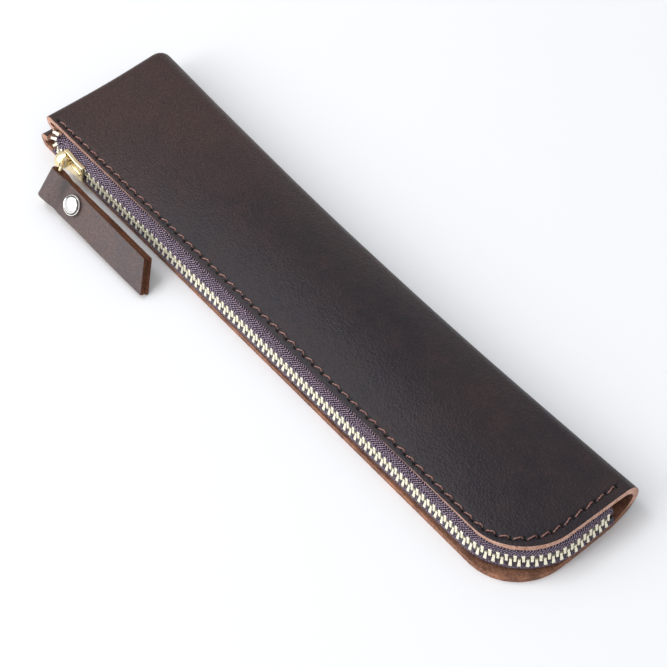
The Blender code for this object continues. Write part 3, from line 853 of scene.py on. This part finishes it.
# Zip
def zip_line(run, inset):
    """A line at an inset inwards of the chain's, at a run along it: its place, and outwards there."""
    radius = chain_radius - inset
    turn = chain_slant + min(max((run - chain_straight) / radius, 0), chain_turn)
    out = Vector((sin(turn), -cos(turn), 0))
    if run <= chain_straight:
        start = Vector((chain_start, chain_inset, 0))
        return start + Vector((cos(chain_slant), sin(chain_slant), 0)) * run - out * inset, out
    place = Vector((chain_corner_x, chain_corner_y, 0)) + out * radius
    place.y += max(run - chain_straight - radius * chain_turn, 0)
    place.x -= end_slip(place.y)
    return place, out


def parting_at(run):
    """How far each row of teeth stands off the closed line, in the slider's mouth and beyond it."""
    return row_parting * clamped((throat_run + throat_length - run) / throat_length)


def across(run, d, z):
    place, out = zip_line(run, 0)
    return place - out * d + Vector((0, 0, z))


def chain_frame(run):
    """Middle of the chain, and its axes: along it, up in its own leaning plane, and outwards."""
    place, out = zip_line(run, 0)
    up = Vector((0, 0, 1))
    chain_up = up * cos(chain_lean) - out * sin(chain_lean)
    chain_out = out * cos(chain_lean) + up * sin(chain_lean)
    drop = chain_drop * clamped((run - chain_straight) / chain_corner)
    return place + up * (chain_height - drop), chain_up.cross(chain_out), chain_up, chain_out


def free_row():
    """The upper row's free end, from the slider's mouth back to where it curls up at the seam."""
    middle, along_chain, chain_up, chain_out = chain_frame(free_run)
    start = middle + chain_up * parting_at(free_run)
    points = [start + along_chain * tooth_pitch, start] + [Vector(place) for place in free_places]
    line = smooth_line(points, 12)[12:]
    reach = [0]
    for before, after in zip(line, line[1:]):
        reach.append(reach[-1] + (after - before).length)
    return line, reach


free_line, free_reach = free_row()


def row_run(run, side):
    """Where on its row a place on the tape is carried: the upper row's free end is longer than its tape."""
    if side < 0 or run > free_run:
        return run
    return free_run - (free_run - run) * free_reach[-1] / free_run


def row_frame(run, side):
    """The middle of one row of teeth, and its axes: along it, from its heads to its legs, and outwards."""
    middle, along_chain, chain_up, chain_out = chain_frame(run)
    middle = middle + chain_up * side * parting_at(run)
    if run >= free_run:
        return middle, along_chain * side, chain_up * side, chain_out
    if side < 0:
        share = 1 - run / free_run
        return middle - chain_out * tuck * share, -along_chain, -chain_up, chain_out
    back = min(free_run - run, free_reach[-1])
    k = max(k for k, reach in enumerate(free_reach) if reach <= back)
    k = min(k, len(free_line) - 2)
    here = free_line[k].lerp(free_line[k + 1], (back - free_reach[k]) / (free_reach[k + 1] - free_reach[k]))
    ahead = (free_line[max(k - 4, 0)] - free_line[min(k + 4, len(free_line) - 1)]).normalized()
    share = back / free_reach[-1]
    legs = chain_up.lerp(Vector(free_legs), share)
    legs = (legs - ahead * legs.dot(ahead)).normalized()
    return here, ahead, legs, ahead.cross(legs)


def tooth(dice):
    """One tooth: X along the zip, Y from its head at the middle to its legs on the tape, Z outwards."""
    bm = bmesh.new()
    bmesh.ops.create_cube(bm, size=1)
    reach = tooth_reach + tooth_overlap
    bmesh.ops.scale(bm, vec=(tooth_leg_length, reach, tooth_leg_depth), verts=bm.verts)
    bmesh.ops.translate(bm, vec=(0, reach / 2 - tooth_overlap, 0), verts=bm.verts)
    long_edges = [edge for edge in bm.edges if abs(edge.verts[0].co.y - edge.verts[1].co.y) > reach / 2]
    bmesh.ops.subdivide_edges(bm, edges=long_edges, cuts=2, use_grid_fill=True)
    for vert in bm.verts:
        if vert.co.y < reach * tooth_head_share - tooth_overlap:
            vert.co.x *= tooth_head_length / tooth_leg_length
            vert.co.z *= tooth_head_depth / tooth_leg_depth
    rounded(bm, 50, tooth_round, 2, False)
    tilt = Matrix.Rotation(dice.gauss(0, tooth_turn), 4, "Z")
    tilt @= Matrix.Rotation(dice.gauss(0, tooth_nod), 4, "X")
    return moved(bm, tilt)


def make_teeth(name, node_name, side, material, seed):
    dice = random.Random(seed)
    whole = bmesh.new()
    run = tooth_pitch / 2 if side > 0 else tooth_pitch
    while side > 0 and free_run - run + tooth_pitch * 0.6 < free_reach[-1]:
        run -= tooth_pitch
    while run < chain_end:
        add_to(whole, moved(tooth(dice), axes_matrix(*row_frame(run, side))))
        run += tooth_pitch
    belongs(piece_of(name, whole, [material], 40), "case", "teeth_brass", node_name)


def top_edge_depth(run):
    """Distance of the top panel's cut edge from the chain's line, across the zip."""
    low, high = -corner_radius, tape_width
    while high - low > play / 100:
        d = (low + high) / 2
        place = across(run, d, 0)
        end_x = top_length - top_slant_share * end_slip(place.y)
        if place.x < end_x and place.y > top_front_y(place.x):
            high = d
        else:
            low = d
    return high


def under_top(run, d):
    place = across(run, d, 0)
    lean = sqrt(1 + top_slope(place.x, place.y) ** 2)
    place.z = top_z(place.x, place.y) - (leather / 2 + tape_top_clear + tape_thickness / 2) * lean
    return place


def tape_section(run, side):
    """A smooth line across one tape, from inside the teeth's legs to its sewn edge."""
    middle, x_axis, y_axis, z_axis = row_frame(row_run(run, side), side)
    points = [middle + y_axis * cord_place, middle + y_axis * tooth_reach + z_axis * tape_bulge]
    if side > 0:
        start = top_edge_depth(run) + tape_under_top
        points += [under_top(run, d) for d in (start, (start + tape_width) / 2, tape_width)]
    else:
        start = tape_over_bottom
        height = leather + play + tape_thickness / 2
        points.append(across(run, -low_tape_bulge, height + tape_thickness * 2))
        points.append(across(run, -low_tape_bulge / 2, height + tape_thickness / 4))
        points += [across(run, d, height) for d in (start, (start + tape_width) / 2, tape_width)]
    return smooth_line(points, 5)


def make_tape(name, node_name, side, material, shaded_cord_yarn):
    """A tape with its teeth's cord along one edge, the cord coloured near black as painted shade between the
    teeth.
    """
    runs = [(chain_end + tape_past_chain) * share for share in shares(tape_columns)]
    sections = [tape_section(run, side) for run in runs]
    bm = sheet(tape_columns, len(sections[0]) - 1, lambda column, row: sections[column][row])
    tape = piece_of(name, bm, [material], 60)
    walled(tape, tape_thickness, tape_thickness / 3, 0, 0, False)
    put_back(tape, applied(tape), 60)
    belongs(tape, "case", "zip_tape", node_name)
    points = []
    for run in runs:
        middle, x_axis, y_axis, z_axis = row_frame(row_run(run, side), side)
        points.append(middle + y_axis * cord_place)
    cord = wires(name + "_cord", [(points, False)], cord_radius, shaded_cord_yarn, 3)
    belongs(cord, "case", "zip_tape")


# Slider and what hangs from it
def slider_matrix():
    return axes_matrix(*chain_frame(slider_x - chain_start))


def slider_outline(inset):
    narrow = chain_width / 2 + slider_play + slider_flange - inset
    wide = narrow + row_parting
    left = -slider_length / 2
    throat = left + mouth_length
    return [(left, wide), (throat, wide), (throat + throat_length, narrow), (slider_length / 2, narrow)]


def plate(outline, low, high, rounding):
    """A plate with rounded edges, from low to high in its own Z."""
    bm = bmesh.new()
    verts = [bm.verts.new((x, y, low)) for x, y in outline]
    face = bm.faces.new(verts)
    raised_face = bmesh.ops.extrude_face_region(bm, geom=[face])
    upper = [item for item in raised_face["geom"] if isinstance(item, bmesh.types.BMVert)]
    bmesh.ops.translate(bm, vec=(0, 0, high - low), verts=upper)
    outward(bm)
    return rounded(bm, 25, rounding, 3, True)


def make_slider(material):
    inner = tooth_depth / 2 + slider_play
    outer = inner + slider_wall
    slot = tape_thickness / 2 + slider_play
    edge = slider_outline(0)
    lip = slider_outline(slider_flange)
    front = edge + [(x, -y) for x, y in reversed(edge)]
    bm = plate(front, inner, outer, 0.00028)
    for side in (1, -1):
        strip = [(x, side * y) for x, y in edge] + [(x, side * y) for x, y in reversed(lip)]
        add_to(bm, plate(strip, slot, outer - slider_wall / 4, 0.0001))
    half = back_plate_width / 2
    left = -slider_length / 2
    back = [(left, -half), (-left, -half), (-left, half), (left, half)]
    add_to(bm, plate(back, -outer, -inner, 0.00022))
    post = [(left + 0.0002, -0.00025), (left + 0.0014, 0), (left + 0.0002, 0.00025)]
    add_to(bm, plate(post, -inner, inner, 0.00004))
    ridge = [(-0.0002, -0.0009), (0.004, -0.0004), (0.004, 0.0004), (-0.0002, 0.0009)]
    add_to(bm, plate(ridge, outer - slider_wall / 4, outer + 0.00045, 0.0003))
    slider = piece_of("zip_slider", moved(bm, slider_matrix()), [material], 40)
    belongs(slider, "slider", "slider_gold", "slider_body")


def make_bail(material):
    """The crown: a broad rounded bridge that the link's near bar passes under."""
    half = bail_length / 2 - bail_wall / 2
    foot = plate_face - slider_wall / 2
    top = plate_face + slider_play + bail_height - bail_wall / 2
    steps, rings = 28, 12
    line = [(-half * cos(pi * t), foot + (top - foot) * sin(pi * t) ** 0.62) for t in shares(steps)]

    def place(column, row):
        x, z = line[column]
        ahead = line[min(column + 1, steps)]
        behind = line[max(column - 1, 0)]
        run = Vector((ahead[0] - behind[0], 0, ahead[1] - behind[1])).normalized()
        out = Vector((-run.z, 0, run.x))
        swell = 0.72 + 0.62 * sin(pi * column / steps)
        turn = 2 * pi * (row % rings) / rings
        point = Vector((x, 0, z)) + out * cos(turn) * bail_wall / 2 * swell
        point.y = sin(turn) * bail_width / 2 * swell
        hood = sqrt(max(1 - (max(point.y, 0) / (bail_width * 0.69)) ** 2, 0))
        point.z = foot + (point.z - foot) * hood
        return point

    bm = sheet(steps, rings, place)
    bmesh.ops.remove_doubles(bm, verts=bm.verts, dist=play / 100)
    bmesh.ops.holes_fill(bm, edges=[edge for edge in bm.edges if edge.is_boundary], sides=0)
    outward(bm)
    seat = Matrix.Translation((bail_x - slider_x, bail_rise + crown_rise_more, 0))
    bail = piece_of("slider_crown", moved(bm, slider_matrix() @ seat), [material], 60)
    belongs(bail, "slider", "slider_gold", "slider_bail")


def tab_axes():
    """The tab's own axes: along its length, across its width, and out of its face."""
    length = Vector((cos(tab_dip) * cos(tab_turn), cos(tab_dip) * sin(tab_turn), -sin(tab_dip)))
    lean = Vector((0, cos(tab_lean), sin(tab_lean)))
    width = (lean - length * lean.dot(length)).normalized()
    return length, width, length.cross(width)


def tab_matrix():
    return axes_matrix(tab_bar, *tab_axes())


def near_bar_place():
    width = tab_axes()[1]
    middle, along_chain, chain_up, chain_out = chain_frame(bail_x - chain_start)
    slant_room = abs(width.dot(chain_out)) * link_near_bar / 2
    return middle + chain_up * bail_rise + chain_out * (plate_face + slider_play + slant_room + link_wire / 2)


def make_link(material):
    """A flat wire ring: a short bar in the crown, a long one in the tab, and an elbow under the tab."""
    near = near_bar_place()
    far = Vector(tab_bar)
    width = tab_axes()[1]
    reach = near - far
    arm = (reach - width * reach.dot(width)).normalized()
    near_half = width * link_near_bar / 2
    half = width * far_bar / 2
    corners = [near + near_half, far + half, far - half, far - half + arm * link_elbow, near - near_half]
    points = []
    for i, here in enumerate(corners):
        before, after = corners[i - 1], corners[(i + 1) % len(corners)]
        start = here + (before - here).normalized() * link_bend
        stop = here + (after - here).normalized() * link_bend
        for t in shares(8):
            points.append(start * (1 - t) ** 2 + here * (2 * t * (1 - t)) + stop * t ** 2)
    link = wires("wire_link", [(points, True)], link_wire / 2, material, 5)
    belongs(link, "link", "slider_gold", "pull_link")


def tab_path():
    """Half of the folded strip's middle line, from the tail to the middle of the fold."""
    straight_steps, ease_steps, turn_steps = 56, 12, 9
    run = tab_eye_run - tab_reach
    points = [(tab_reach + run * t, tab_mid) for t in shares(straight_steps)[:-1]]
    for t in shares(ease_steps)[:-1]:
        smooth = t * t * (3 - 2 * t)
        points.append((tab_eye_run * (1 - t), tab_mid + (tab_eye_mid - tab_mid) * smooth))
    for t in shares(turn_steps):
        points.append((-tab_eye_mid * sin(pi / 2 * t), tab_eye_mid * cos(pi / 2 * t)))
    return points


def make_tab(face, suede, edge):
    """The strip, folded round the link's long bar, with its tail cut at a slant and a slight twist."""
    half = tab_path()
    path = half + [(x, -y) for x, y in reversed(half[:-1])]
    rows = 14

    def place(column, row):
        reach, offset = path[column]
        share = row / rows
        far = max(reach / tab_reach, 0)
        reach -= tab_slant * share * far ** 3
        return Vector((reach, tab_width * (share - 0.5), offset))

    tab = piece_of("pull_strap", sheet(len(path) - 1, rows, place), [face, suede, edge])
    walled(tab, tab_leather, edge_round)
    bm = applied(tab)
    rough = rim_verts(bm)
    dark = bm.verts.layers.float.new("painted_shade")
    middle = Vector((rivet_reach, rivet_rise, 0))
    for vert in bm.verts:
        here = vert.co.copy()
        away = (Vector((here.x, here.y, 0)) - middle).length
        press = rivet_press * exp(-(away / rivet_press_radius) ** 4)
        pinched = exp(-((here.x - pinch_reach) / pinch_run) ** 2)
        # painted shade along the pinched crease between the fold and the rivet
        vert[dark] = pinched * (0.5 + 0.35 * noise.noise(here * 350))
        press += pinch * pinched
        vert.co.z -= press if here.z > 0 else -press
        if vert in rough:
            fuzz = noise.noise(here * tab_fuzz_scale)
            fuzz += 0.8 * noise.noise(here * tab_coarse_scale + Vector((7, 0, 0)))
            vert.co += vert.normal * fuzz * edge_fuzz * 1.5
        else:
            vert.co += vert.normal * noise.noise(here * tab_wave_scale) * surface_wave
        far = clamped((here.x - tab_eye_run) / (tab_reach - tab_eye_run))
        vert.co = Matrix.Rotation(tab_twist * far, 3, "X") @ vert.co
    moved(bm, tab_matrix())
    for vert in bm.verts:
        vert.co.z = max(vert.co.z, 0)
    put_back(tab, bm)
    belongs(tab, "tab", "tab_leather", "pull_tab")


def turned(profile):
    """A solid of revolution about Z from a profile that runs down its outer side."""
    bm = bmesh.new()
    verts = [bm.verts.new((r, 0, z)) for r, z in profile]
    edges = [bm.edges.new((a, b)) for a, b in zip(verts, verts[1:])]
    bmesh.ops.spin(bm, geom=verts + edges, cent=(0, 0, 0), axis=(0, 0, 1), angle=2 * pi, steps=40,
                   use_merge=True)
    bmesh.ops.remove_doubles(bm, verts=bm.verts, dist=play / 50)
    outward(bm)
    return bm


def make_rivet(material):
    """Two domed heads with a rolled rim, joined by a tube through both layers of the strap."""
    seat = tab_mid + tab_leather / 2 + play / 4 - rivet_press / 2
    half = rivet_head / 2
    profile = [(0, seat + 0.00112)]
    for t in shares(6)[1:]:
        profile.append((half * 0.78 * sin(pi / 2 * t) ** 0.5, seat + 0.00082 + 0.0003 * cos(pi / 2 * t)))
    profile += [(half * share, seat + height) for share, height in rivet_rim]
    profile += [(rivet_tube / 2, seat), (rivet_tube / 2, 0), (0, 0)]
    for name, node_name, turn in (("rivet_front", "rivet_cap", 0), ("rivet_back", "rivet_base", pi)):
        bm = turned(profile)
        groove = bm.verts.layers.float.new("groove")
        for vert in bm.verts:
            off = Vector(vert.co.xy).length / half - rivet_groove
            vert[groove] = exp(-(off / rivet_groove_width) ** 4)
        place = Matrix.Translation((rivet_reach, rivet_rise, 0)) @ Matrix.Rotation(turn, 4, "X")
        moved(bm, tab_matrix() @ place)
        belongs(piece_of(name, bm, [material], 40), "tab", "rivet_nickel", node_name)


# Floor, lights and camera
def make_stage():
    bm = bmesh.new()
    bmesh.ops.create_grid(bm, x_segments=1, y_segments=1, size=3)
    floor = linked("floor", bpy.data.meshes.new("floor"))
    bm.to_mesh(floor.data)
    bm.free()
    made, _, paper = shader("Pale table")
    fill(paper, {"Base Color": (0.9, 0.905, 0.915, 1), "Roughness": 0.9})
    floor.data.materials.append(made)
    world = bpy.data.worlds.new("Studio")
    bpy.context.scene.world = world
    world.use_nodes = True
    fill(world.node_tree.nodes["Background"], {"Strength": 0.64, "Color": (0.97, 0.98, 1, 1)})


def lamp(name, place, size, power, colour=(1, 1, 1)):
    """A round area lamp, turned to the origin."""
    light = bpy.data.lights.new(name, "AREA")
    light.shape = "DISK"
    light.size = size
    light.energy = power
    light.color = colour
    holder = linked(name, light)
    holder.location = place
    holder.rotation_euler = Vector(place).to_track_quat("Z", "Y").to_euler()


def make_lights():
    lamp("Window", (-0.64, -0.96, 0.95), 1.7, 10, (0.97, 0.98, 1))
    lamp("Softbox", (-0.5, -0.16, 1.05), 0.45, 2.6, (0.93, 0.95, 1))
    lamp("Reflector", (-0.15, -1.1, 0.55), 0.6, 4)


def make_camera():
    lens = bpy.data.cameras.new("Camera")
    lens.lens = camera_lens
    lens.sensor_width = 36
    lens.sensor_fit = "HORIZONTAL"
    holder = linked("Camera", lens)
    turn = Matrix.Rotation(camera_azimuth, 4, "Z") @ Matrix.Rotation(pi / 2 - camera_elevation, 4, "X")
    turn @= Matrix.Rotation(camera_roll, 4, "Z")
    holder.matrix_world = Matrix.Translation(camera_place) @ turn
    bpy.context.scene.camera = holder


def build():
    make_camera()
    make_lights()
    make_stage()
    bpy.context.scene.view_settings.view_transform = "Standard"
    hide = waxed_leather("Waxed brown leather", (0.018, 0.0125, 0.0175), (0.06, 0.03, 0.025),
                         brown_low=-0.1, brown_high=0.02, rough_low=0.38, shine=0.31, patchy=0.27)
    # partly painted light: the strap's paler colours are partly its own worn leather and partly the light its
    # front-facing side catches
    strap = waxed_leather("Strap leather", (0.105, 0.078, 0.08), (0.14, 0.084, 0.068),
                          brown_low=-0.2, brown_high=0.2, rough_low=0.45, shine=0.5, patchy=0.5)
    suede = raw_leather("Suede inside", (0.3, 0.14, 0.085), (0.1, 0.045, 0.028), 0.95)
    # the last colour is painted shade for the lower cut edge, near the table
    edge = raw_leather("Cut edge", (0.84, 0.53, 0.41), (0.34, 0.16, 0.1), 0.55, 0.7, (0.42, 0.185, 0.105))
    rust = raw_leather("Rusty cut edge", (0.18, 0.065, 0.028), (0.055, 0.018, 0.008), 0.85)
    weave = woven_tape("Aubergine tape", (0.013, 0.006, 0.016), (0.62, 0.49, 0.65), chain_end, 0.011)
    brass = plated("Pale brass", (1, 0.95, 0.75), (0.56, 0.44, 0.22), 0.25, 0.2, 0.4)
    gold = plated("Gold plate", (0.97, 0.83, 0.52), (0.62, 0.42, 0.16), 0.14, 0.35)
    nickel = plated("Nickel plate", (0.93, 0.92, 0.89), (0.7, 0.68, 0.62), 0.12, 0.3)
    yarn = spun_thread("Seam thread", (0.46, 0.22, 0.18), (0.1, 0.036, 0.028))
    # painted shade: the cord is coloured near black so the gaps between the teeth look shaded
    shaded_cord_yarn = spun_thread("Cord in painted shade", (0.045, 0.028, 0.05), (0.008, 0.004, 0.01))
    make_leather(hide, suede, edge)
    make_tape("upper_zip_tape", "upper_tape", 1, weave, shaded_cord_yarn)
    make_tape("lower_zip_tape", "lower_tape", -1, weave, shaded_cord_yarn)
    make_teeth("upper_zip_teeth", "upper_teeth", 1, brass, 1)
    make_teeth("lower_zip_teeth", "lower_teeth", -1, brass, 2)
    make_slider(gold)
    make_bail(gold)
    make_link(gold)
    make_tab(strap, suede, rust)
    make_rivet(nickel)
    seams = (
        ("upper_seam_outside", "upper_needle_thread", top_seam_at, above_top, stitch_end_y, 1),
        ("upper_seam_inside", "upper_bobbin_thread", top_seam_at, below_top_tape, chain_end_y, -1),
        ("lower_seam_outside", "lower_needle_thread", low_seam_at, in_groove, stitch_end_y, -1),
        ("lower_seam_inside", "lower_bobbin_thread", low_seam_at, above_low_tape, chain_end_y, 1),
        ("end_seam_upper_side", "end_needle_thread", end_seam_at, above_allowance, end_stitch_stop_y, 1),
        ("end_seam_lower_side", "end_bobbin_thread", end_seam_at, below_allowance, end_stitch_stop_y, -1),
    )
    for seed, seam in enumerate(seams, 3):
        make_seam(*seam, yarn, seed)


build()
